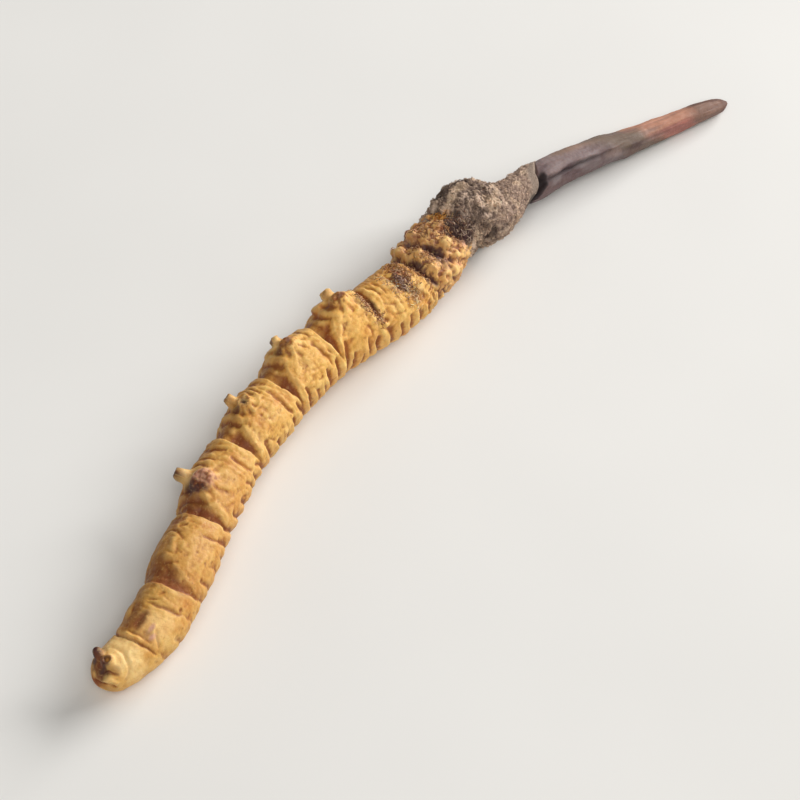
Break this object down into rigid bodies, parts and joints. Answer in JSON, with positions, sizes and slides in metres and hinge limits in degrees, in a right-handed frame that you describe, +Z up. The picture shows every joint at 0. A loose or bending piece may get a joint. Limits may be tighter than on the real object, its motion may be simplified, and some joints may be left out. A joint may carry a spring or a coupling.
{
  "type": "dried cordyceps",
  "caption": "Dried cordyceps lying on its side: the wrinkled, segmented husk of a larva, with a felted crust over its head and a thin dark fungus stalk.",
  "frame": {"origin": "on the surface it rests on, under the middle of the object's box", "axes": "+X from the larva's tail to the stalk's tip, +Z up from the surface, +Y to the side that the prolegs lean to"},
  "size_m": [0.0712, 0.0123, 0.006],
  "materials": {
    "larva_skin": "dry, wrinkled, waxy matte",
    "felted_crust": "matted fungus threads and soil",
    "stalk_skin": "leathery, shrivelled along its length"
  },
  "bodies": {
    "root": {"larva": "larva_skin", "head_crust": "felted_crust", "stroma_stalk": "stalk_skin"}
  },
  "joints": []
}
